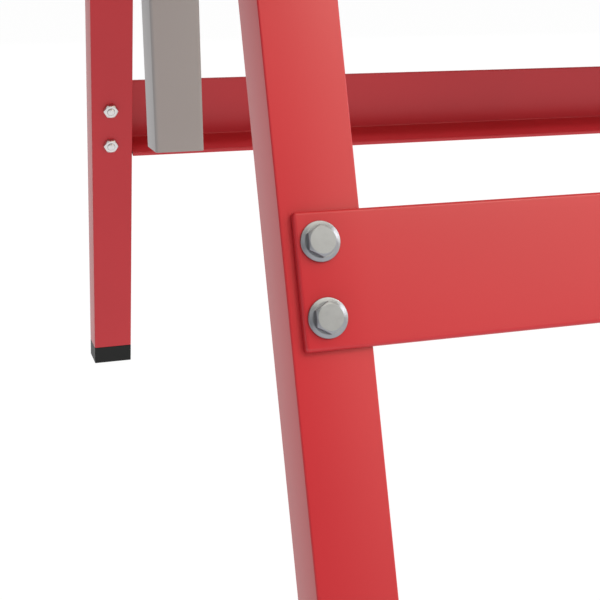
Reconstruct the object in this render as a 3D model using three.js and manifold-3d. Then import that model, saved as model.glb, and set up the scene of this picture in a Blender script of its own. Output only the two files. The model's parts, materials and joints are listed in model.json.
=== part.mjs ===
// Height-adjustable workbench with three drawers. Millimetres, +Z up.
// Origin: on the floor under the middle of the bench. X runs along the bench, -Y is the front.
// Two A-shaped end frames carry a telescoping column each; the columns carry the table.

import * as THREE from 'three';
import { mergeVertices } from 'three/addons/utils/BufferGeometryUtils.js';
import Module from 'manifold-3d';

const wasm = await Module();
wasm.setup();

// ---------- driving dimensions ----------

const GAP = 0.3;                 // clearance kept between pieces that touch
const OVER = 1;                  // how far a cut runs past the piece it cuts

const FRAME_LENGTH = 1300;       // over the outer side faces of the end frames
const HALF_SPREAD = 510;         // bench centre to the legs' outer face, at the floor
const SPLAY = THREE.MathUtils.degToRad(18.4);

const LEG = { width: 45, depth: 40, wall: 2.5, top: 650 };
const CAP = { height: 22.5, spigot: 24, wall: 3 };

const RAIL = { sheet: 4.5, web: 73.9, flange: 45.7, lowEdge: 301.5, endInset: 6.3, notch: 1 };
// Each joint's bolts: inset of their axis from the end frame's outer side face, height along the leg.
const JOINTS = {
  front: { inset: 19.6, rows: [318.7, 359.0] },
  rear: { inset: 20.7, rows: [316.4, 358.8] },
};
const BOLT = { shank: 4, flange: 10.9, flangeThick: 2, flat: 15.2, head: 6, tail: 1.8 };
const NUT = { flat: 14, height: 4.5, bore: 4.35, turn: Math.PI / 4 };
const BOLT_HOLE = 4.5;           // radius

const BEAM = { height: 40, wall: 2.5, drain: 24 };
const SLEEVE = { outer: 50, bore: 44, low: 495, high: 700 };
const LINER = { bore: 41, rim: 4, low: 660 };
const BOSS = { radius: 13, length: 12, z: 560 };
const KNOB = { spindle: 6, hub: 15, radius: 27, lobe: 3, lobes: 5, depth: 20, standoff: 6, clear: 1 };

const COLUMN = { side: 40, wall: 2.5, low: 335.3, floor: 3 };
const HEAD = { width: 40, height: 35, halfLength: 320, tip: 18, socketBore: 40.8, wall: 2.5 };
const TIE = { y: 285, depth: 25, height: 18, wall: 2 };

const TOP = { length: 1500, depth: 700, thick: 40, surface: 860, corner: 12 };

const CASE = { left: 90, width: 450, front: -285, back: 260, height: 300, sheet: 2 };
const CASE_RAIL = { depth: 15, height: 10 };
const FRONT_HEIGHTS = [80, 96, 114];
const FRONT_NAMES = ['top', 'middle', 'bottom'];
const FRONT = { gap: 3, depth: 18, sheet: 1.5, topMargin: 1 };
const TRAY = { length: 500, sheet: 1.5, lift: 12, headroom: 26, slideHeight: 27 };
const SLIDE = { length: 450, sheet: 1.2, space: 13, setback: 2 };
// Slide members: web and lip are distances from the case's inner wall, half is half the height.
const OUTER_MEMBER = { web: GAP, lip: 10.8, half: 18 };
const MIDDLE_MEMBER = { web: 2.4, lip: 11, half: 15.6 };
const INNER_MEMBER = { web: SLIDE.space + 0.2, lip: 4.6, half: 13 };
const HANDLE = { span: 160, reach: 32, strip: 6, height: 12, corner: 11 };

const COLOURS = {
  red: { color: 0xc4403f, roughness: 0.45, metalness: 0 },
  grey: { color: 0x96908d, roughness: 0.45, metalness: 0 },
  zinc: { color: 0xb4b4b2, roughness: 0.4, metalness: 0.9 },
  black: { color: 0x282929, roughness: 0.7, metalness: 0 },
  wood: { color: 0xc79a62, roughness: 0.55, metalness: 0 },
};

// ---------- values worked out from them ----------

const SIDES = [['left', -1], ['right', 1]];

const TAN = Math.tan(SPLAY);
const LEG_RUN = LEG.depth / Math.cos(SPLAY);      // leg depth measured level, along Y
const WALL_RUN = LEG.wall / Math.cos(SPLAY);
const FRAME_X = FRAME_LENGTH / 2 - LEG.width / 2; // middle of an end frame
const TABLE_UNDER = TOP.surface - TOP.thick;
const HEAD_TOP = TABLE_UNDER - GAP;
const HEAD_LOW = HEAD_TOP - HEAD.height;
const LINER_TOP = SLEEVE.high + GAP + LINER.rim;
const CASE_X = CASE.left + CASE.width / 2;
const BAY_HALF = CASE.width / 2 - CASE.sheet;     // half the clear width inside the case

// ---------- solids ----------

function solidOf(geometry) {
  const bare = geometry.clone();
  bare.deleteAttribute('normal');
  bare.deleteAttribute('uv');
  const merged = mergeVertices(bare, 1e-4);
  return new wasm.Manifold(new wasm.Mesh({
    numProp: 3,
    vertProperties: new Float32Array(merged.attributes.position.array),
    triVerts: new Uint32Array(merged.index.array),
  }));
}

function geometryOf(solid) {
  const mesh = solid.getMesh();
  const geometry = new THREE.BufferGeometry();
  geometry.setAttribute('position', new THREE.BufferAttribute(mesh.vertProperties, 3));
  geometry.setIndex(new THREE.BufferAttribute(mesh.triVerts, 1));
  geometry.computeVertexNormals();
  return geometry;
}

// A block between any two opposite corners.
function block([x0, y0, z0], [x1, y1, z1]) {
  const geometry = new THREE.BoxGeometry(Math.abs(x1 - x0), Math.abs(y1 - y0), Math.abs(z1 - z0));
  return solidOf(geometry.translate((x0 + x1) / 2, (y0 + y1) / 2, (z0 + z1) / 2));
}

// A post centred on X = Y = 0, square unless a depth is given.
function post(width, z0, z1, depth = width) {
  return block([-width / 2, -depth / 2, z0], [width / 2, depth / 2, z1]);
}

// A round or many-sided bar along Y, from y0 to y1.
function barY(radius, y0, y1, x, z, sides = 20, turn = 0) {
  const geometry = new THREE.CylinderGeometry(radius, radius, y1 - y0, sides);
  geometry.rotateY(turn);
  return solidOf(geometry.translate(x, (y0 + y1) / 2, z));
}

// A round bar along X, from x0 to x1.
function barX(radius, x0, x1, z, sides = 20) {
  const geometry = new THREE.CylinderGeometry(radius, radius, Math.abs(x1 - x0), sides);
  return solidOf(geometry.rotateZ(Math.PI / 2).translate((x0 + x1) / 2, 0, z));
}

function outline(points) {
  return new THREE.Shape(points.map(([u, v]) => new THREE.Vector2(u, v)));
}

// An outline in (Y, Z), extruded over a width centred on X = 0.
function plateYZ(points, width) {
  const geometry = new THREE.ExtrudeGeometry(outline(points), { depth: width, bevelEnabled: false });
  geometry.translate(0, 0, -width / 2);
  return solidOf(geometry.rotateX(Math.PI / 2).rotateZ(Math.PI / 2));
}

// Leans an upright solid by the splay, so its ends stay level.
function leaned(solid) {
  const shear = new THREE.Matrix4().makeShear(0, 0, 0, 0, 0, TAN);
  return solidOf(geometryOf(solid).applyMatrix4(shear).translate(0, -HALF_SPREAD, 0));
}

// Moves a solid from the leg's own frame (Y into the leg, Z up along it) to the corner's frame.
function onLeg(solid) {
  const geometry = geometryOf(solid).rotateX(-SPLAY).translate(0, -HALF_SPREAD, 0);
  return solidOf(geometry);
}

// ---------- scene graph ----------

const bench = new THREE.Group();

function add(parent, name, solid, colour) {
  const mesh = new THREE.Mesh(geometryOf(solid), new THREE.MeshStandardMaterial(COLOURS[colour]));
  mesh.name = name;
  parent.add(mesh);
  return mesh;
}

function group(parent, x = 0, turn = 0) {
  const result = new THREE.Group();
  result.position.x = x;
  result.rotation.z = turn;
  parent.add(result);
  return result;
}

// A nested group whose Y runs into the leg and whose Z runs up its outer face.
function legFrame(parent) {
  const result = new THREE.Group();
  result.position.y = -HALF_SPREAD;
  result.rotation.x = -SPLAY;
  parent.add(result);
  return result;
}

// ---------- end frames ----------

const ROW_NAMES = ['lower', 'upper'];

// outward is -1 or +1: the side of the leg, along X, that is the end frame's outer side
function boltX(outward, joint) {
  return outward * (LEG.width / 2 - joint.inset);
}

function leg(outward, joint) {
  const low = CAP.height + GAP;
  const outer = block([-LEG.width / 2, 0, low], [LEG.width / 2, LEG_RUN, LEG.top - GAP]);
  const inner = block(
    [-LEG.width / 2 + LEG.wall, WALL_RUN, low - OVER],
    [LEG.width / 2 - LEG.wall, LEG_RUN - WALL_RUN, LEG.top + OVER],
  );
  let tube = leaned(outer.subtract(inner));
  const x = boltX(outward, joint);
  for (const row of joint.rows) {
    tube = tube.subtract(onLeg(barY(BOLT_HOLE, -OVER, LEG.depth + OVER, x, row)));
  }
  return tube;
}

function footCap() {
  const halfBore = LEG.width / 2 - LEG.wall - GAP;
  const inset = WALL_RUN + GAP;
  const pad = block([-LEG.width / 2, 0, 0], [LEG.width / 2, LEG_RUN, CAP.height]);
  const top = CAP.height + CAP.spigot;
  const spigot = block([-halfBore, inset, CAP.height - OVER], [halfBore, LEG_RUN - inset, top]);
  const hollow = block(
    [-halfBore + CAP.wall, inset + CAP.wall, CAP.height - CAP.wall],
    [halfBore - CAP.wall, LEG_RUN - inset - CAP.wall, top + OVER],
  );
  return leaned(pad.add(spigot).subtract(hollow));
}

// Hexagonal flange bolt, in the leg's frame, head on the rail's outer face.
function railBolt(outward, joint, row) {
  const x = boltX(outward, joint);
  const seat = -2 * GAP - RAIL.sheet;
  const end = LEG.depth + GAP + NUT.height + BOLT.tail;
  const flange = barY(BOLT.flange, seat - BOLT.flangeThick, seat, x, row, 28);
  const head = barY(BOLT.flat / Math.sqrt(3), seat - BOLT.head, seat - OVER, x, row, 6);
  const shank = barY(BOLT.shank, seat - OVER, end, x, row, 16);
  return flange.add(head).add(shank);
}

function railNut(outward, joint, row) {
  const x = boltX(outward, joint);
  const seat = LEG.depth + GAP;
  const corner = NUT.flat / Math.sqrt(3);
  const body = barY(corner, seat, seat + NUT.height, x, row, 6, NUT.turn);
  return body.subtract(barY(NUT.bore, seat - OVER, seat + NUT.height + OVER, x, row, 16));
}

// Angle rail, in the leg's frame: web on the legs' outer face, flange turned in at its low edge.
function rail(joint) {
  const half = FRAME_LENGTH / 2 - RAIL.endInset;
  const clear = FRAME_LENGTH / 2 - LEG.width - RAIL.notch;
  const face = -GAP - RAIL.sheet;
  const low = RAIL.lowEdge;
  const web = block([-half, face, low], [half, -GAP, low + RAIL.web]);
  const flange = block([-clear, face, low], [clear, face + RAIL.flange, low + RAIL.sheet]);
  let angle = web.add(flange);
  for (const side of [-1, 1]) {
    for (const row of joint.rows) {
      const x = side * FRAME_X + boltX(side, joint);
      angle = angle.subtract(barY(BOLT_HOLE, face - OVER, OVER, x, row));
    }
  }
  return angle;
}

function beamOutline(inset) {
  const low = LEG.top + inset;
  const high = LEG.top + BEAM.height - inset;
  const yLow = HALF_SPREAD - low * TAN - inset;
  const yHigh = HALF_SPREAD - high * TAN - inset;
  return [[-yLow, low], [yLow, low], [yHigh, high], [-yHigh, high]];
}

// Welded top member of an end frame: a closed beam with the column's sleeve through its middle.
function topBeam(outward) {
  const { top } = LEG;
  let beam = plateYZ(beamOutline(0), LEG.width);
  beam = beam.subtract(plateYZ(beamOutline(BEAM.wall), LEG.width - 2 * BEAM.wall));
  for (const side of [-1, 1]) {
    const y = side * (HALF_SPREAD - top * TAN - LEG_RUN / 2);
    const half = BEAM.drain / 2;
    beam = beam.subtract(block([-half, y - half, top - OVER], [half, y + half, top + BEAM.wall + OVER]));
  }
  const wall = outward * SLEEVE.outer / 2;
  const bossEnd = wall + outward * BOSS.length;
  return beam
    .add(post(SLEEVE.outer, SLEEVE.low, SLEEVE.high))
    .add(barX(BOSS.radius, wall - outward, bossEnd, BOSS.z, 24))
    .subtract(post(SLEEVE.bore, SLEEVE.low - OVER, SLEEVE.high + OVER))
    .subtract(barX(KNOB.spindle + GAP, 0, bossEnd + outward, BOSS.z, 24));
}

function sleeveLiner() {
  const rimLow = SLEEVE.high + GAP;
  const rim = post(SLEEVE.outer, rimLow, LINER_TOP);
  const skirt = post(SLEEVE.bore - 2 * GAP, LINER.low, rimLow + OVER);
  return rim.add(skirt).subtract(post(LINER.bore, LINER.low - OVER, LINER_TOP + OVER));
}

// Lobed clamp knob on a threaded spindle that bears on the column.
function clampKnob(outward) {
  const tip = COLUMN.side / 2 + GAP;
  const hub = SLEEVE.outer / 2 + BOSS.length + KNOB.clear;
  const grip = hub + KNOB.standoff;
  const shape = new THREE.Shape();
  const steps = 8 * KNOB.lobes;
  for (let i = 0; i < steps; i += 1) {
    const angle = (2 * Math.PI * i) / steps;
    const radius = KNOB.radius + KNOB.lobe * Math.cos(KNOB.lobes * angle);
    const point = [radius * Math.cos(angle), radius * Math.sin(angle)];
    if (i === 0) shape.moveTo(...point);
    else shape.lineTo(...point);
  }
  const geometry = new THREE.ExtrudeGeometry(shape, { depth: KNOB.depth, bevelEnabled: false });
  geometry.rotateY(Math.PI / 2);
  geometry.translate(outward > 0 ? grip : -grip - KNOB.depth, 0, BOSS.z);
  return solidOf(geometry)
    .add(barX(KNOB.hub, outward * hub, outward * (grip + OVER), BOSS.z, 24))
    .add(barX(KNOB.spindle, outward * tip, outward * (hub + OVER), BOSS.z, 16));
}

function endFrame(side, outward) {
  const frame = group(bench, outward * FRAME_X);
  add(frame, `top_beam_${side}`, topBeam(outward), 'red');
  add(frame, `sleeve_liner_${side}`, sleeveLiner(), 'black');
  add(frame, `clamp_knob_${side}`, clampKnob(outward), 'black');
  for (const [place, turn] of [['front', 0], ['rear', Math.PI]]) {
    const localOut = turn === 0 ? outward : -outward;
    const corner = group(frame, 0, turn);
    add(corner, `leg_${place}_${side}`, leg(localOut, JOINTS[place]), 'red');
    add(corner, `foot_cap_${place}_${side}`, footCap(), 'black');
    const slope = legFrame(corner);
    const joint = JOINTS[place];
    joint.rows.forEach((row, i) => {
      const label = `${place}_${side}_${ROW_NAMES[i]}`;
      add(slope, `rail_bolt_${label}`, railBolt(localOut, joint, row), 'zinc');
      add(slope, `rail_nut_${label}`, railNut(localOut, joint, row), 'zinc');
    });
  }
}

// ---------- table ----------

function column() {
  const tube = post(COLUMN.side, COLUMN.low, HEAD_LOW - GAP);
  const bore = COLUMN.side - 2 * COLUMN.wall;
  return tube.subtract(post(bore, COLUMN.low + COLUMN.floor, HEAD_LOW + OVER));
}

function headOutline(inset) {
  const { halfLength, tip, socketBore } = HEAD;
  const end = halfLength - inset;
  const high = HEAD_TOP - inset;
  const tipLow = HEAD_TOP - tip + inset;
  const low = HEAD_LOW + inset;
  return [[-end, high], [-end, tipLow], [-2 * socketBore, low],
    [2 * socketBore, low], [end, tipLow], [end, high]];
}

// Tapered arm under the top, with the socket that takes the column's upper end.
function head() {
  const arm = plateYZ(headOutline(0), HEAD.width);
  const hollow = plateYZ(headOutline(HEAD.wall), HEAD.width - 2 * HEAD.wall);
  const bore = COLUMN.side - 2 * COLUMN.wall;
  return arm
    .subtract(hollow)
    .add(post(SLEEVE.outer, LINER_TOP + GAP, HEAD_LOW))
    .subtract(post(HEAD.socketBore, LINER_TOP, HEAD_LOW))
    .subtract(post(bore, HEAD_LOW - OVER, HEAD_LOW + HEAD.wall + OVER));
}

// Tube that ties the two arms together under the back of the top.
function tieBeam() {
  const half = FRAME_X - HEAD.width / 2 - GAP;
  const inner = TIE.height - 2 * TIE.wall;
  const tube = block([-half, TIE.y - TIE.depth, HEAD_TOP - TIE.height], [half, TIE.y, HEAD_TOP]);
  return tube.subtract(block(
    [-half - OVER, TIE.y - TIE.depth + TIE.wall, HEAD_TOP - TIE.wall - inner],
    [half + OVER, TIE.y - TIE.wall, HEAD_TOP - TIE.wall],
  ));
}

function worktop() {
  const x = TOP.length / 2;
  const y = TOP.depth / 2;
  const r = TOP.corner;
  const shape = new THREE.Shape();
  shape.moveTo(-x + r, -y);
  shape.lineTo(x - r, -y).absarc(x - r, -y + r, r, -Math.PI / 2, 0);
  shape.lineTo(x, y - r).absarc(x - r, y - r, r, 0, Math.PI / 2);
  shape.lineTo(-x + r, y).absarc(-x + r, y - r, r, Math.PI / 2, Math.PI);
  shape.lineTo(-x, -y + r).absarc(-x + r, -y + r, r, Math.PI, 1.5 * Math.PI);
  const options = { depth: TOP.thick, bevelEnabled: false, curveSegments: 6 };
  return solidOf(new THREE.ExtrudeGeometry(shape, options).translate(0, 0, TABLE_UNDER));
}

// ---------- drawer case, drawers and slides, all in the case's frame (X = 0 at its middle) ----------

const CASE_TOP = HEAD_TOP;
const CASE_LOW = CASE_TOP - CASE.height;

// Low and high edge of each drawer front, from the top down.
const BAYS = FRONT_HEIGHTS.map((height, i) => {
  const above = FRONT_HEIGHTS.slice(0, i).reduce((sum, h) => sum + h + FRONT.gap, 0);
  const high = CASE_TOP - FRONT.topMargin - above;
  return { name: FRONT_NAMES[i], low: high - height, high };
});

function drawerCase() {
  const half = CASE.width / 2;
  const t = CASE.sheet;
  let shell = block([-half, CASE.front, CASE_LOW], [half, CASE.back, CASE_TOP]);
  const inside = block(
    [-half + t, CASE.front - OVER, CASE_LOW + t],
    [half - t, CASE.back - t, CASE_TOP - t],
  );
  shell = shell.subtract(inside);
  for (const bay of BAYS.slice(0, -1)) {
    const z = bay.low - FRONT.gap / 2;
    const deep = CASE.front + CASE_RAIL.depth;
    const tall = CASE_RAIL.height / 2;
    shell = shell.add(block([-half + t / 2, CASE.front, z - tall], [half - t / 2, deep, z + tall]));
  }
  return shell;
}

function slideZ(bay) {
  return bay.low + TRAY.lift + TRAY.slideHeight;
}

// A channel section along Y on one side of the case, its lips reaching from the web to the lip line.
function slideMember(bay, side, { web, lip, half }) {
  const webX = side * (BAY_HALF - web);
  const lipX = side * (BAY_HALF - lip);
  const towards = Math.sign(lipX - webX);
  const z = slideZ(bay);
  const y0 = CASE.front + SLIDE.setback;
  const y1 = y0 + SLIDE.length;
  const t = SLIDE.sheet;
  const full = block([webX, y0, z - half], [lipX, y1, z + half]);
  return full.subtract(block(
    [webX + towards * t, y0 - OVER, z - half + t],
    [lipX + towards * OVER, y1 + OVER, z + half - t],
  ));
}

// Open tray with the slides' inner members riveted to its sides.
function tray(bay) {
  const half = BAY_HALF - SLIDE.space;
  const t = TRAY.sheet;
  const low = bay.low + TRAY.lift;
  const high = low + bay.high - bay.low - TRAY.headroom;
  const y0 = CASE.front;
  const y1 = y0 + TRAY.length;
  const shell = block([-half, y0, low], [half, y1, high])
    .subtract(block([-half + t, y0 + t, low + t], [half - t, y1 - t, high + OVER]));
  return shell.add(slideMember(bay, -1, INNER_MEMBER)).add(slideMember(bay, 1, INNER_MEMBER));
}

function frontPanel(bay) {
  const half = BAY_HALF;
  const t = FRONT.sheet;
  const y1 = CASE.front - GAP;
  const y0 = y1 - FRONT.depth;
  const panel = block([-half, y0, bay.low], [half, y1, bay.high]);
  return panel.subtract(block([-half + t, y0 + t, bay.low + t], [half - t, y1 + OVER, bay.high - t]));
}

// Bent flat strip, standing off the front panel.
function handle(bay) {
  const foot = CASE.front - 2 * GAP - FRONT.depth;
  const half = HANDLE.span / 2;
  const shape = new THREE.Shape();
  const far = foot - HANDLE.reach;
  const r = HANDLE.corner;
  const inner = r - HANDLE.strip;
  shape.moveTo(-half, foot);
  shape.lineTo(-half, far + r).absarc(-half + r, far + r, r, Math.PI, 1.5 * Math.PI);
  shape.lineTo(half - r, far).absarc(half - r, far + r, r, 1.5 * Math.PI, 2 * Math.PI);
  shape.lineTo(half, foot).lineTo(half - HANDLE.strip, foot).lineTo(half - HANDLE.strip, far + r);
  shape.absarc(half - r, far + r, inner, 0, -Math.PI / 2, true);
  shape.lineTo(-half + r, far + HANDLE.strip);
  shape.absarc(-half + r, far + r, inner, -Math.PI / 2, -Math.PI, true);
  shape.lineTo(-half + HANDLE.strip, foot);
  const options = { depth: HANDLE.height, bevelEnabled: false, curveSegments: 6 };
  const z = (bay.low + bay.high - HANDLE.height) / 2;
  return solidOf(new THREE.ExtrudeGeometry(shape, options).translate(0, 0, z));
}

function addDrawer(parent, bay) {
  add(parent, `drawer_tray_${bay.name}`, tray(bay), 'grey');
  add(parent, `drawer_front_${bay.name}`, frontPanel(bay), 'red');
  add(parent, `drawer_handle_${bay.name}`, handle(bay), 'black');
  for (const [side, direction] of SIDES) {
    const outer = slideMember(bay, direction, OUTER_MEMBER);
    const middle = slideMember(bay, direction, MIDDLE_MEMBER);
    add(parent, `slide_outer_${bay.name}_${side}`, outer, 'zinc');
    add(parent, `slide_middle_${bay.name}_${side}`, middle, 'zinc');
  }
}

// ---------- assembly ----------

for (const [side, direction] of SIDES) endFrame(side, direction);
add(legFrame(group(bench)), 'rail_front', rail(JOINTS.front), 'red');
add(legFrame(group(bench, 0, Math.PI)), 'rail_rear', rail(JOINTS.rear), 'red');

for (const [side, direction] of SIDES) {
  const end = group(bench, direction * FRAME_X);
  add(end, `column_${side}`, column(), 'grey');
  add(end, `column_head_${side}`, head(), 'grey');
}
add(bench, 'tie_beam', tieBeam(), 'grey');
add(bench, 'worktop', worktop(), 'wood');

const unit = group(bench, CASE_X);
add(unit, 'drawer_case', drawerCase(), 'grey');
for (const bay of BAYS) addDrawer(unit, bay);

export default bench;
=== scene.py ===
"""Looks for the height-adjustable workbench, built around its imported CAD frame. Metres, +Z up."""

import json
import math

import bmesh
import bpy
from mathutils import Matrix, Vector


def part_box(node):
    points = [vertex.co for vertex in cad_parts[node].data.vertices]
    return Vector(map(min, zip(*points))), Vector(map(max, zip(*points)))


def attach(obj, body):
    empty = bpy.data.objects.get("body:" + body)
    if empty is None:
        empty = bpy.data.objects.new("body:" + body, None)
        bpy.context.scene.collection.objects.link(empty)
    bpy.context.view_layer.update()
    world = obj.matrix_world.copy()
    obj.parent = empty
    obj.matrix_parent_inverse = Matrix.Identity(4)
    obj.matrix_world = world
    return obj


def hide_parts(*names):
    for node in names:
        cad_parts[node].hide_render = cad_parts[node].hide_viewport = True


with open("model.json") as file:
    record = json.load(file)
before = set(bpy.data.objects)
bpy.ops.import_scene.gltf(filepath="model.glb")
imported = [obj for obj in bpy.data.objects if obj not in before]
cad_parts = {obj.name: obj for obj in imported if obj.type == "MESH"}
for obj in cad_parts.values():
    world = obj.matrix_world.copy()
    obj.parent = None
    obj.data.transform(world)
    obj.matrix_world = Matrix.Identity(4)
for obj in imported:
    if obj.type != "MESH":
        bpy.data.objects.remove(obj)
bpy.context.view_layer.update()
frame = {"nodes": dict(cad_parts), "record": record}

MM = 0.001
NODES = frame["nodes"]
SIDES = ("left", "right")
PLACES = ("front", "rear")
ROWS = ("lower", "upper")

# ---------- dimensions shared with the frame ----------

SPLAY = math.radians(18.4)
GAP = 0.3 * MM
LEG_WALL = 2.5 * MM
SHEET = 4.5 * MM
LEG_DEPTH = 40 * MM
NUT_HEIGHT = 4.5 * MM


# ---------- node-tree helpers ----------

def new_material(name):
    """A node material; returns it with its tree and Principled shader."""
    material = bpy.data.materials.new(name)
    material.use_nodes = True
    tree = material.node_tree
    return material, tree, tree.nodes["Principled BSDF"]


def link(tree, source, target):
    """Joins an output socket to an input socket."""
    tree.links.new(source, target)


def object_coords(tree, scale=(1.0, 1.0, 1.0)):
    """Object coordinates, stretched by scale."""
    coords = tree.nodes.new("ShaderNodeTexCoord")
    mapping = tree.nodes.new("ShaderNodeMapping")
    mapping.inputs["Scale"].default_value = scale
    link(tree, coords.outputs["Object"], mapping.inputs["Vector"])
    return mapping.outputs["Vector"]


def noise(tree, vector, scale, detail, roughness=0.5, distortion=0.0):
    """The value of a noise texture."""
    node = tree.nodes.new("ShaderNodeTexNoise")
    node.inputs["Scale"].default_value = scale
    node.inputs["Detail"].default_value = detail
    node.inputs["Roughness"].default_value = roughness
    node.inputs["Distortion"].default_value = distortion
    link(tree, vector, node.inputs["Vector"])
    return node.outputs["Fac"]


def ramp(tree, value, *stops):
    """A colour ramp of (position, colour) stops."""
    node = tree.nodes.new("ShaderNodeValToRGB")
    elements = node.color_ramp.elements
    while len(elements) < len(stops):
        elements.new(0.5)
    for element, (position, colour) in zip(elements, stops):
        element.position = position
        element.color = (*colour, 1.0)
    link(tree, value, node.inputs["Fac"])
    return node.outputs["Color"]


def map_range(tree, value, low, high, source_low=0.0, source_high=1.0):
    """Maps a value from the source range to low...high."""
    node = tree.nodes.new("ShaderNodeMapRange")
    node.inputs["From Min"].default_value = source_low
    node.inputs["From Max"].default_value = source_high
    node.inputs["To Min"].default_value = low
    node.inputs["To Max"].default_value = high
    link(tree, value, node.inputs["Value"])
    return node.outputs["Result"]


def math_node(tree, operation, first, second=None):
    """A math operation on one or two values, each a number or a socket."""
    node = tree.nodes.new("ShaderNodeMath")
    node.operation = operation
    for socket, value in zip(node.inputs, (first, second)):
        if isinstance(value, (int, float)):
            socket.default_value = value
        elif value is not None:
            link(tree, value, socket)
    return node.outputs["Value"]


def mix_colour(tree, factor, first, second, blend="MIX"):
    """Two colours mixed or multiplied, each a colour or a socket."""
    node = tree.nodes.new("ShaderNodeMix")
    node.data_type = "RGBA"
    node.blend_type = blend
    sockets = {s.identifier: s for s in node.inputs}
    for name, value in (("Factor_Float", factor), ("A_Color", first), ("B_Color", second)):
        socket = sockets[name]
        if isinstance(value, (int, float)):
            socket.default_value = value
        elif isinstance(value, tuple):
            socket.default_value = (*value, 1.0)
        else:
            link(tree, value, socket)
    return {s.identifier: s for s in node.outputs}["Result_Color"]


def bump(tree, shader, height, strength, distance):
    """Bends the shader's normal by a height."""
    node = tree.nodes.new("ShaderNodeBump")
    node.inputs["Strength"].default_value = strength
    node.inputs["Distance"].default_value = distance
    link(tree, height, node.inputs["Height"])
    link(tree, node.outputs["Normal"], shader.inputs["Normal"])


# ---------- materials ----------

def scaled(colour, factor):
    """A colour made darker or lighter."""
    return tuple(min(1.0, c * factor) for c in colour)


COAT_DRIFT_SCALE = 5.0
COAT_GLOSS_SCALE = 9.0
COAT_GLOSS_SPREAD = 0.02
COAT_SPECULAR = 0.42
PEEL_SCALE = 420.0
PEEL_STRENGTH = 0.05
PEEL_HEIGHT = 0.02 * MM


def powder_coat(name, colour, roughness=0.35, shift=0.05):
    """Satin powder coat: a faint orange peel, and a slow drift of tone and gloss."""
    material, tree, shader = new_material(name)
    vector = object_coords(tree)
    drift = noise(tree, vector, COAT_DRIFT_SCALE, detail=2.0)
    darker = scaled(colour, 1 - shift)
    lighter = scaled(colour, 1 + shift)
    tone = ramp(tree, drift, (0.3, darker), (0.7, lighter))
    link(tree, tone, shader.inputs["Base Color"])
    gloss = noise(tree, vector, COAT_GLOSS_SCALE, detail=2.0)
    low, high = roughness - COAT_GLOSS_SPREAD, roughness + COAT_GLOSS_SPREAD
    link(tree, map_range(tree, gloss, low, high), shader.inputs["Roughness"])
    shader.inputs["Specular IOR Level"].default_value = COAT_SPECULAR
    peel = noise(tree, vector, PEEL_SCALE, detail=1.0, roughness=0.4)
    bump(tree, shader, peel, PEEL_STRENGTH, PEEL_HEIGHT)
    return material


CRYSTAL_SCALE = 240.0
CRYSTAL_SHADE = 0.93
SCRATCH_SCALE = (900.0, 4000.0, 900.0)
SCRATCH_STRENGTH = 0.05
SCRATCH_DEPTH = 0.05 * MM


def zinc(name, tone, roughness):
    """Zinc-plated steel: cloudy crystals in the gloss, and very fine scratches."""
    material, tree, shader = new_material(name)
    vector = object_coords(tree)
    cloud = noise(tree, vector, CRYSTAL_SCALE, detail=4.0)
    crystals = ramp(tree, cloud, (0.35, scaled(tone, CRYSTAL_SHADE)), (0.65, tone))
    link(tree, crystals, shader.inputs["Base Color"])
    shader.inputs["Metallic"].default_value = 1.0
    gloss = map_range(tree, cloud, roughness - 0.06, roughness + 0.08)
    link(tree, gloss, shader.inputs["Roughness"])
    scratches = noise(tree, object_coords(tree, SCRATCH_SCALE), 1.0, detail=2.0)
    bump(tree, shader, scratches, SCRATCH_STRENGTH, SCRATCH_DEPTH)
    return material


GRAIN_SCALE = 1500.0
GRAIN_STRENGTH = 0.25
GRAIN_HEIGHT = 0.08 * MM
PLASTIC_TONE_SCALE = 30.0
PLASTIC_LIGHTER = 1.25
PLASTIC_SPECULAR = 0.22


def moulded_plastic(name, colour, roughness):
    """Matt moulded plastic with a fine sparked grain."""
    material, tree, shader = new_material(name)
    vector = object_coords(tree)
    grain = noise(tree, vector, GRAIN_SCALE, detail=2.0, roughness=0.7)
    drift = noise(tree, vector, PLASTIC_TONE_SCALE, detail=2.0)
    tone = ramp(tree, drift, (0.3, colour), (0.7, scaled(colour, PLASTIC_LIGHTER)))
    link(tree, tone, shader.inputs["Base Color"])
    gloss = map_range(tree, grain, roughness - 0.08, roughness + 0.1)
    link(tree, gloss, shader.inputs["Roughness"])
    shader.inputs["Specular IOR Level"].default_value = PLASTIC_SPECULAR
    bump(tree, shader, grain, GRAIN_STRENGTH, GRAIN_HEIGHT)
    return material


STAVE_WIDTH = 43 * MM
STAVE_LENGTH = 640 * MM
STAVE_TONES = (
    (0.0, (0.46, 0.27, 0.13)),
    (0.5, (0.55, 0.34, 0.17)),
    (1.0, (0.63, 0.42, 0.23)),
)
STREAK_TONES = (
    (0.32, (0.72, 0.66, 0.6)),
    (0.5, (1.0, 1.0, 1.0)),
    (0.75, (1.08, 1.05, 1.0)),
)
LONG_GRAIN = (2.2, 55.0, 55.0)
STAVE_OFFSET = 40.0
FLECK_SCALE = (55.0, 620.0, 620.0)
FLECK_COLOUR = (0.30, 0.16, 0.08)
WOOD_BUMP = 0.2
WOOD_BUMP_HEIGHT = 0.15 * MM


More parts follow.
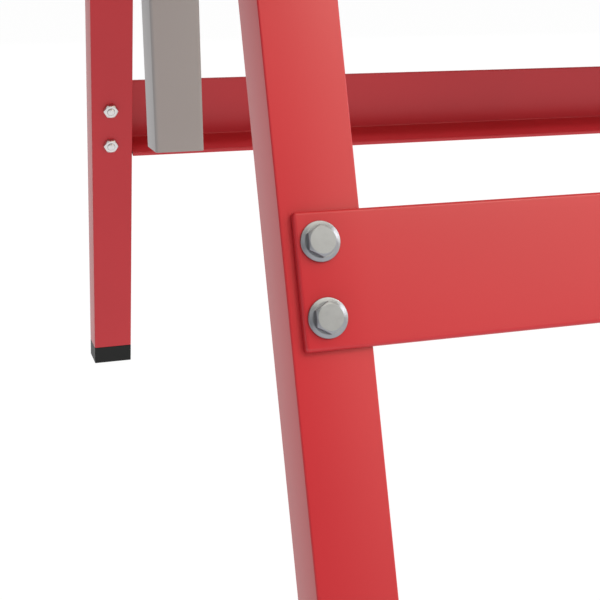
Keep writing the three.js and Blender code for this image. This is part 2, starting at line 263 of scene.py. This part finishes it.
def stave_random(tree):
    """One random number for each glued stave, staves running along X in staggered rows."""
    coords = tree.nodes.new("ShaderNodeTexCoord")
    split = tree.nodes.new("ShaderNodeSeparateXYZ")
    link(tree, coords.outputs["Object"], split.inputs["Vector"])
    row = math_node(tree, "FLOOR", math_node(tree, "DIVIDE", split.outputs["Y"], STAVE_WIDTH))
    row_noise = tree.nodes.new("ShaderNodeTexWhiteNoise")
    row_noise.noise_dimensions = "1D"
    link(tree, row, row_noise.inputs["W"])
    along = math_node(tree, "DIVIDE", split.outputs["X"], STAVE_LENGTH)
    column = math_node(tree, "FLOOR", math_node(tree, "ADD", along, row_noise.outputs["Value"]))
    join = tree.nodes.new("ShaderNodeCombineXYZ")
    link(tree, row, join.inputs["X"])
    link(tree, column, join.inputs["Y"])
    each = tree.nodes.new("ShaderNodeTexWhiteNoise")
    each.noise_dimensions = "3D"
    link(tree, join.outputs["Vector"], each.inputs["Vector"])
    return each.outputs["Value"]


def beech(name):
    """Oiled, stave-glued beech: tone by stave, long grain, and the short dark flecks of beech."""
    material, tree, shader = new_material(name)
    stave = stave_random(tree)
    base = ramp(tree, stave, *STAVE_TONES)
    shifted = tree.nodes.new("ShaderNodeVectorMath")
    shifted.operation = "ADD"
    link(tree, object_coords(tree, LONG_GRAIN), shifted.inputs[0])
    link(tree, math_node(tree, "MULTIPLY", stave, STAVE_OFFSET), shifted.inputs[1])
    grain = noise(tree, shifted.outputs["Vector"], 1.0, detail=6.0, roughness=0.6, distortion=0.35)
    streaks = ramp(tree, grain, *STREAK_TONES)
    toned = mix_colour(tree, 1.0, base, streaks, "MULTIPLY")
    flecks = noise(tree, object_coords(tree, FLECK_SCALE), 1.0, detail=1.0)
    fleck_mask = map_range(tree, flecks, 0.0, 0.5, 0.66, 0.74)
    link(tree, mix_colour(tree, fleck_mask, toned, FLECK_COLOUR), shader.inputs["Base Color"])
    link(tree, map_range(tree, grain, 0.38, 0.56), shader.inputs["Roughness"])
    relief = math_node(tree, "SUBTRACT", grain, fleck_mask)
    bump(tree, shader, relief, WOOD_BUMP, WOOD_BUMP_HEIGHT)
    return material


RED = powder_coat("red_powder_coat", (0.49, 0.019, 0.028))
GREY = powder_coat("grey_powder_coat", (0.31, 0.29, 0.292), shift=0.03)
TRAY = powder_coat("tray_powder_coat", (0.42, 0.42, 0.415), roughness=0.42, shift=0.03)
# one zinc plating in two tones by place: the darker copy paints shade into the front bolt heads and the
# zinc CAD parts, the lighter copy paints light onto the rear nuts and bolt ends
ZINC_PAINTED_DARKER = zinc("zinc_painted_darker", (0.33, 0.34, 0.37), 0.38)
ZINC_PAINTED_LIGHTER = zinc("zinc_painted_lighter", (0.72, 0.71, 0.71), 0.36)
SLIDE_ZINC = zinc("slide_zinc", (0.66, 0.67, 0.68), 0.32)
BLACK = moulded_plastic("black_plastic", (0.0075, 0.008, 0.008), 0.5)
HANDLE = powder_coat("black_powder_coat", (0.018, 0.018, 0.019), roughness=0.42)
WOOD = beech("oiled_beech")

SLOT_MATERIALS = {
    "red_paint": RED,
    "grey_paint": GREY,
    "tray_steel": TRAY,
    "zinc_steel": ZINC_PAINTED_DARKER,
    "black_plastic": BLACK,
    "handle_black": HANDLE,
    "beech_top": WOOD,
}


# ---------- mesh helpers ----------

SAME_POINT = 0.0001 * MM
SOFT_SEGMENTS = 2


def set_material(piece, material):
    piece.data.materials.clear()
    piece.data.materials.append(material)


def finish_shading(piece, angle=35.0):
    """Smooth shading, with edges sharper than the angle kept crisp."""
    piece.data.polygons.foreach_set("use_smooth", [True] * len(piece.data.polygons))
    piece.data.set_sharp_from_angle(angle=math.radians(angle))


def add_piece(name, build, material, body, replaced):
    """Makes an object from a bmesh, puts it on its body, and replaces the CAD nodes it redraws."""
    mesh = bpy.data.meshes.new(name)
    bmesh.ops.remove_doubles(build, verts=build.verts, dist=SAME_POINT)
    bmesh.ops.recalc_face_normals(build, faces=build.faces)
    build.to_mesh(mesh)
    build.free()
    piece = bpy.data.objects.new(name, mesh)
    bpy.context.scene.collection.objects.link(piece)
    set_material(piece, material)
    finish_shading(piece)
    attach(piece, body)
    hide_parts(*replaced)
    return piece


def soften(piece, width, angle=40.0):
    """Rounds the hard edges, as a rolled tube, a folded sheet or a moulding has them."""
    bevel = piece.modifiers.new("edges", "BEVEL")
    bevel.width = width
    bevel.segments = SOFT_SEGMENTS
    bevel.limit_method = "ANGLE"
    bevel.angle_limit = math.radians(angle)
    bevel.harden_normals = True


def add_loop(build, points):
    """New vertices at the points."""
    return [build.verts.new(p) for p in points]


def bridge(build, first, second):
    """Faces between two closed loops of equal length."""
    count = len(first)
    for i in range(count):
        j = (i + 1) % count
        build.faces.new((first[i], first[j], second[j], second[i]))


def loft(build, rings, caps=True):
    """Joins rings of equal length in order; caps the first and last, or joins them."""
    loops = [add_loop(build, ring) for ring in rings]
    for first, second in zip(loops, loops[1:]):
        bridge(build, first, second)
    if caps:
        build.faces.new(loops[0])
        build.faces.new(loops[-1])
    else:
        bridge(build, loops[-1], loops[0])


def arc(centre, radius, start, end, steps=6):
    """Points of an arc, angles in degrees."""
    points = []
    for i in range(steps + 1):
        angle = math.radians(start + (end - start) * i / steps)
        points.append((centre[0] + radius * math.cos(angle), centre[1] + radius * math.sin(angle)))
    return points


def rounded_rectangle(width, depth, radius):
    """Points of a rectangle with round corners, centred on the origin."""
    points = []
    corners = ((1, 1, 0), (-1, 1, 90), (-1, -1, 180), (1, -1, 270))
    for side_x, side_y, start in corners:
        centre_x = side_x * (width / 2 - radius)
        centre_y = side_y * (depth / 2 - radius)
        points += arc((centre_x, centre_y), radius, start, start + 90)
    return points


def transform(build, matrix):
    """Moves a whole bmesh by a matrix."""
    bmesh.ops.transform(build, matrix=matrix, verts=build.verts)


# ---------- legs ----------

TUBE_RADIUS = 1.1 * MM
BORE_RADIUS = 0.8 * MM


def place_sign(place):
    """The side of the bench, along Y, that the place is on."""
    return -1 if place == "front" else 1


def leg_ring(low, high, place, z, width, depth, radius):
    """A level cut through a leg at height z, from the leg's box."""
    sign = place_sign(place)
    stretch = 1 / math.cos(SPLAY)
    foot_y = low.y if place == "front" else high.y
    outer_y = foot_y - sign * (z - low.z) * math.tan(SPLAY)
    centre_y = outer_y - sign * LEG_DEPTH * stretch / 2
    centre_x = (low.x + high.x) / 2
    outline = rounded_rectangle(width, depth, radius)
    return [(centre_x + x, centre_y + y * stretch, z) for x, y in outline]


def make_leg(place, side):
    """A rectangular tube that leans inwards, with level, open ends."""
    node = f"leg_{place}_{side}"
    low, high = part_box(node)
    width = high.x - low.x
    bore = (width - 2 * LEG_WALL, LEG_DEPTH - 2 * LEG_WALL, BORE_RADIUS)
    shell = (width, LEG_DEPTH, TUBE_RADIUS)
    build = bmesh.new()
    rings = [
        leg_ring(low, high, place, low.z, *shell),
        leg_ring(low, high, place, high.z, *shell),
        leg_ring(low, high, place, high.z, *bore),
        leg_ring(low, high, place, low.z, *bore),
    ]
    loft(build, rings, caps=False)
    add_piece(f"leg_tube_{place}_{side}", build, RED, "base", [node])


# ---------- rails ----------

BEND_INNER = 1.2 * MM
BEND_OUTER = 2.4 * MM
WEB = 73.9 * MM
FLANGE = 45.7 * MM
EDGE = 1.9 * MM
LIP_EDGE = 1.0 * MM
END_STEPS = 5
FLANGE_NOTCH = 1 * MM
RAIL_SOFT = 0.3 * MM


def rail_profile():
    """The angle section: (inwards from the web's outer face, up from the flange's underside)."""
    points = arc((BEND_OUTER, BEND_OUTER), BEND_OUTER, 180, 270)
    points += arc((FLANGE - LIP_EDGE, LIP_EDGE), LIP_EDGE, -90, 0, 4)
    points += arc((FLANGE - LIP_EDGE, SHEET - LIP_EDGE), LIP_EDGE, 0, 90, 4)
    points += arc((SHEET + BEND_INNER, SHEET + BEND_INNER), BEND_INNER, 270, 180, 4)
    points += arc((SHEET - LIP_EDGE, WEB - LIP_EDGE), LIP_EDGE, 0, 90, 4)
    points += arc((EDGE, WEB - EDGE), EDGE, 90, 180, 6)
    return points


def shrink(outline, inset):
    """The web's outline, drawn in by inset from the outer face and along both long edges."""
    across = 1 - inset / SHEET
    along = 1 - 2 * inset / WEB
    return [(SHEET + (d - SHEET) * across, WEB / 2 + (s - WEB / 2) * along) for d, s in outline]


def make_rail(place):
    """A folded angle rail whose flange stops short of the legs."""
    node = f"rail_{place}"
    low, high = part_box(node)
    sign = place_sign(place)
    inward = Vector((0, -sign * math.cos(SPLAY), -math.sin(SPLAY)))
    upward = Vector((0, -sign * math.sin(SPLAY), math.cos(SPLAY)))
    outer_y = low.y if place == "front" else high.y
    corner = Vector((0, outer_y, low.z + FLANGE * math.sin(SPLAY)))
    profile = rail_profile()
    web_only = [(min(d, SHEET), s) for d, s in profile]

    def ring(x, outline):
        return [Vector((x, 0, 0)) + corner + inward * d + upward * s for d, s in outline]

    def rounded_end(x, inwards):
        """Rings of a rounded end, from the end face at x inwards."""
        rings = []
        for i in range(END_STEPS + 1):
            angle = math.pi / 2 * i / END_STEPS
            inset = EDGE * (1 - math.sin(angle))
            rings.append(ring(x + inwards * EDGE * (1 - math.cos(angle)), shrink(web_only, inset)))
        return rings

    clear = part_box("leg_front_right")[0].x - FLANGE_NOTCH
    build = bmesh.new()
    rings = rounded_end(low.x, 1) + [ring(-clear, web_only), ring(-clear, profile)]
    rings += [ring(clear, profile), ring(clear, web_only)] + rounded_end(high.x, -1)[::-1]
    loft(build, rings)
    piece = add_piece(f"angle_rail_{place}", build, RED, "base", [node])
    soften(piece, RAIL_SOFT, angle=60.0)


# ---------- bolts and nuts ----------

HEX_STEPS = 72
RING_ANGLES = [2 * math.pi * i / HEX_STEPS for i in range(HEX_STEPS)]
SHARP_ANGLE = 22.0
HEAD_FLAT = 15.2 * MM
HEAD_HEIGHT = 6 * MM
HEAD_FOOT = 2 * MM
HEAD_TURN = math.pi / 2
HEAD_CHAMFER = (HEAD_FLAT / 2 * 0.95, 30.0)
HEAD_FACE_RINGS = (0.92, 0.89)
HEAD_RIM_DROP = 0.1 * MM
FLANGE_RADIUS = 10.9 * MM
# the conical flange, in millimetres: (inset from its rim, height above its seat)
FLANGE_PROFILE = ((0.3, 0), (0, 0.3), (0, 0.8), (0.15, 1.1), (0.55, 1.25))
FLANGE_MARGIN = 1.3 * MM
NUT_FLAT = 14 * MM
NUT_CHAMFER = (NUT_FLAT / 2 * 0.92, 40.0)
COUNTERSINK = 0.3 * MM
THREAD_RADIUS = 4 * MM
THREAD_PITCH = 1.25 * MM
THREAD_START = -22 * MM
THREAD_CLEARANCE = 0.08 * MM
# the groove's root as a share of the radius, its crest's end and its root as shares of the pitch
THREAD_ROOT = 0.87
THREAD_CREST = 0.35
THREAD_FLANK = 0.7
TIP_DOME = 1.5 * MM
TIP_SHARES = (1.0, 0.95, 0.84, 0.68, 0.46, 0.2)
TIP_LENGTH = 1.6 * MM
SHANK_SHOULDER = -1 * MM
SHANK_LENGTH = GAP + SHEET + GAP + LEG_DEPTH + GAP + NUT_HEIGHT + TIP_LENGTH


def hex_radius(angle, flat, turn):
    """Distance from the centre to the side of a hexagon, whose corners lie at turn + 60 degrees x n."""
    step = math.pi / 3
    off = (angle - turn + step / 2) % step - step / 2
    return flat / 2 / math.cos(step / 2 - abs(off))


def hex_rings(flat, low, high, turn, circle, slope):
    """A hexagon whose upper corners are cut by a cone, from low up to the cone's top circle."""
    fall = math.tan(math.radians(slope))
    around = [(a, hex_radius(a, flat, turn)) for a in RING_ANGLES]
    foot = [(r * math.cos(a), r * math.sin(a), low) for a, r in around]
    shoulder = [(r * math.cos(a), r * math.sin(a), high - (r - circle) * fall) for a, r in around]
    return [foot, shoulder, circle_ring(circle, high)]


def circle_ring(radius, z):
    """A level circle about Z."""
    return [(radius * math.cos(a), radius * math.sin(a), z) for a in RING_ANGLES]


def thread_profile(start, end):
    """(radius, z) points of ring grooves down to z = end, closed by a low dome."""
    points = []
    z = start
    while z - THREAD_PITCH > end + TIP_DOME:
        points.append((THREAD_RADIUS, z))
        points.append((THREAD_RADIUS, z - THREAD_CREST * THREAD_PITCH))
        points.append((THREAD_RADIUS * THREAD_ROOT, z - THREAD_FLANK * THREAD_PITCH))
        z -= THREAD_PITCH
    points.append((THREAD_RADIUS, z))
    for share in TIP_SHARES:
        points.append((THREAD_RADIUS * share, end + TIP_DOME * (1 - math.sqrt(1 - share ** 2))))
    return points


def leg_axis_matrix(node, place, depth):
    """Frame on a nut's axis, +Z out of the leg's outer face, its origin at a depth in the leg."""
    low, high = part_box(node)
    centre = (low + high) / 2
    sign = place_sign(place)
    outward = Vector((0, sign * math.cos(SPLAY), math.sin(SPLAY)))
    upward = Vector((0, -sign * math.sin(SPLAY), math.cos(SPLAY)))
    across = upward.cross(outward)
    turn = Matrix((across, upward, outward)).transposed().to_4x4()
    nut_depth = LEG_DEPTH + GAP + NUT_HEIGHT / 2
    return Matrix.Translation(centre + outward * (nut_depth - depth)) @ turn


def make_bolt(label, place):
    """Hexagon flange bolt: conical flange, chamfered head, shank and threaded, domed end."""
    thread = thread_profile(THREAD_START, -SHANK_LENGTH)[::-1]
    shank = [(THREAD_RADIUS, SHANK_SHOULDER), (THREAD_RADIUS, 0)]
    flange = [(FLANGE_RADIUS - inset * MM, z * MM) for inset, z in FLANGE_PROFILE]
    flange.append((HEAD_FLAT / 2 + FLANGE_MARGIN, HEAD_FOOT))
    rings = [circle_ring(r, z) for r, z in thread + shank + flange]
    rings += hex_rings(HEAD_FLAT, HEAD_FOOT, HEAD_HEIGHT - HEAD_RIM_DROP, HEAD_TURN, *HEAD_CHAMFER)
    rings += [circle_ring(HEAD_FLAT / 2 * share, HEAD_HEIGHT) for share in HEAD_FACE_RINGS]
    build = bmesh.new()
    loft(build, rings)
    seat = -(SHEET + 2 * GAP)
    transform(build, leg_axis_matrix(f"rail_nut_{label}", place, seat))
    # painted light and shade: the same bolt takes the darker zinc copy at the front and the lighter one
    # at the rear
    material = ZINC_PAINTED_DARKER if place == "front" else ZINC_PAINTED_LIGHTER
    replaced = [f"rail_bolt_{label}"]
    piece = add_piece(f"flange_bolt_{label}", build, material, "base", replaced)
    finish_shading(piece, SHARP_ANGLE)


def make_nut(label, place):
    """Hexagon nut, chamfered on its outer side, with a countersunk bore."""
    node = f"rail_nut_{label}"
    half = NUT_HEIGHT / 2
    bore = THREAD_RADIUS + THREAD_CLEARANCE
    rings = [circle_ring(bore, -half)]
    rings += hex_rings(NUT_FLAT, -half, half, 0, *NUT_CHAMFER)
    rings += [circle_ring(bore + COUNTERSINK, half), circle_ring(bore, half - COUNTERSINK)]
    build = bmesh.new()
    loft(build, rings, caps=False)
    flip = Matrix.Rotation(math.pi, 4, "X")
    transform(build, leg_axis_matrix(node, place, LEG_DEPTH + GAP + half) @ flip)
    # the nuts take the lighter zinc copy, which is painted light
    piece = add_piece(f"hexagon_nut_{label}", build, ZINC_PAINTED_LIGHTER, "base", [node])
    finish_shading(piece, SHARP_ANGLE)


# ---------- columns ----------

COLUMN_RADIUS = 3 * MM
COLUMN_SOFT = 0.4 * MM


def make_column(side):
    """Square column with rounded long edges and flush, closed ends."""
    node = f"column_{side}"
    low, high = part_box(node)
    centre = (low + high) / 2
    outline = rounded_rectangle(high.x - low.x, high.y - low.y, COLUMN_RADIUS)
    build = bmesh.new()
    loft(build, [[(centre.x + x, centre.y + y, z) for x, y in outline] for z in (low.z, high.z)])
    piece = add_piece(f"square_column_{side}", build, GREY, "table", [node])
    soften(piece, COLUMN_SOFT, angle=60.0)


# ---------- looks of the CAD nodes ----------

WELD_DISTANCE = 0.01 * MM
FLAT_ANGLE = math.radians(1.0)


def edge_width(node, slot):
    """How round the edges of a CAD node are."""
    if node == "worktop":
        return 2.5 * MM
    if slot == "black_plastic":
        return 0.8 * MM
    if node.startswith(("top_beam", "column_head")):
        return 1.5 * MM
    return 0.5 * MM


def dress_node(node, slot):
    """Material and softened edges for a CAD node, which shows unless a piece replaces it."""
    piece = NODES[node]
    material = SLIDE_ZINC if node.startswith("slide") else SLOT_MATERIALS[slot]
    set_material(piece, material)
    weld = piece.modifiers.new("weld", "WELD")
    weld.merge_threshold = WELD_DISTANCE
    flat = piece.modifiers.new("flat", "DECIMATE")
    flat.decimate_type = "DISSOLVE"
    flat.angle_limit = FLAT_ANGLE
    soften(piece, edge_width(node, slot))


def dress_nodes():
    for row in frame["record"]["subparts"]:
        dress_node(row["node"], row["material_slot"])


# ---------- floor, light and camera ----------

FLOOR_SIZE = 600
FLOOR_DROP = 0.5 * MM
FLOOR_COLOUR = (0.06, 0.06, 0.06, 1)
FLOOR_ROUGHNESS = 0.9
FLOOR_GLOW = 0.98
WHITE = (1.0, 1.0, 1.0, 1.0)


def make_floor():
    """A wide, pale, evenly lit floor."""
    bpy.ops.mesh.primitive_plane_add(size=FLOOR_SIZE, location=(0, 0, -FLOOR_DROP))
    floor = bpy.context.object
    floor.name = "floor"
    material, _, shader = new_material("pale_floor")
    shader.inputs["Base Color"].default_value = FLOOR_COLOUR
    shader.inputs["Roughness"].default_value = FLOOR_ROUGHNESS
    shader.inputs["Specular IOR Level"].default_value = 0.0
    shader.inputs["Emission Color"].default_value = WHITE
    shader.inputs["Emission Strength"].default_value = FLOOR_GLOW
    set_material(floor, material)


def area_light(name, location, target, size, energy, colour):
    """A rectangular softbox that faces the target."""
    data = bpy.data.lights.new(name, "AREA")
    data.shape = "RECTANGLE"
    data.size, data.size_y = size
    data.energy = energy
    data.color = colour
    lamp = bpy.data.objects.new(name, data)
    bpy.context.scene.collection.objects.link(lamp)
    lamp.location = location
    lamp.rotation_euler = (Vector(target) - Vector(location)).to_track_quat("-Z", "Y").to_euler()


WARM = (1.0, 0.95, 0.80)
NEUTRAL = (1.0, 1.0, 1.0)
LIGHT_AIM = (-0.4, -0.2, 0.4)
# name, azimuth from the front towards the right end, elevation, distance, size, watts, colour
LIGHTS = (
    ("key", 10, 56, 4.5, (4.0, 4.0), 104, WARM),
    ("front_panel", 39, 16, 4.5, (3.8, 2.0), 55, WARM),
    ("rim", 38, 41, 4.5, (1.6, 0.8), 52, WARM),
    ("right_low", 84, 22, 4.5, (2.6, 2.0), 90, NEUTRAL),
    ("left_fill", -50, 25, 4.5, (3.0, 2.0), 18, NEUTRAL),
    ("top_back", 180, 80, 4.5, (3.2, 1.0), 60, NEUTRAL),
    ("backdrop", 180, 21, 7.0, (14.0, 5.0), 160, NEUTRAL),
)

WORLD_LIGHT = 0.08
WORLD_BACKDROP = 0.98


def make_world():
    """A dim, even sky that shows as pale as the floor behind the bench."""
    world = bpy.data.worlds.new("studio")
    world.use_nodes = True
    tree = world.node_tree
    background = tree.nodes["Background"]
    background.inputs["Color"].default_value = WHITE
    seen = tree.nodes.new("ShaderNodeLightPath").outputs["Is Camera Ray"]
    strength = map_range(tree, seen, WORLD_LIGHT, WORLD_BACKDROP)
    link(tree, strength, background.inputs["Strength"])
    bpy.context.scene.world = world


def make_lights():
    """Softboxes around the aim, at the angles of LIGHTS."""
    for name, azimuth, elevation, distance, size, energy, colour in LIGHTS:
        across = distance * math.cos(math.radians(elevation))
        x = LIGHT_AIM[0] + across * math.sin(math.radians(azimuth))
        y = LIGHT_AIM[1] - across * math.cos(math.radians(azimuth))
        z = LIGHT_AIM[2] + distance * math.sin(math.radians(elevation))
        area_light(name, (x, y, z), LIGHT_AIM, size, energy, colour)


CAMERA_OFFSET = Vector((-167.0, -982.1, 480.0)) * MM
CAMERA_YAW = math.radians(18.59)
CAMERA_PITCH = math.radians(16.40)
CAMERA_LENS = 71.51
SENSOR_WIDTH = 36
CAMERA_SHIFT = (-0.0598, 0.0299)


def make_camera():
    """A long lens in front of the left end, looking slightly down and towards the right."""
    data = bpy.data.cameras.new("camera")
    data.sensor_width = SENSOR_WIDTH
    data.lens = CAMERA_LENS
    data.shift_x, data.shift_y = CAMERA_SHIFT
    camera = bpy.data.objects.new("camera", data)
    bpy.context.scene.collection.objects.link(camera)
    end_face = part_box("leg_front_left")[0].x
    camera.location = Vector((end_face, 0, 0)) + CAMERA_OFFSET
    camera.rotation_euler = (math.pi / 2 - CAMERA_PITCH, 0, -CAMERA_YAW)
    bpy.context.scene.camera = camera


# ---------- everything ----------

dress_nodes()
for place in PLACES:
    make_rail(place)
    for side in SIDES:
        make_leg(place, side)
        for row in ROWS:
            make_bolt(f"{place}_{side}_{row}", place)
            make_nut(f"{place}_{side}_{row}", place)
for side in SIDES:
    make_column(side)

make_floor()
make_world()
make_lights()
make_camera()
bpy.context.scene.view_settings.view_transform = "Standard"
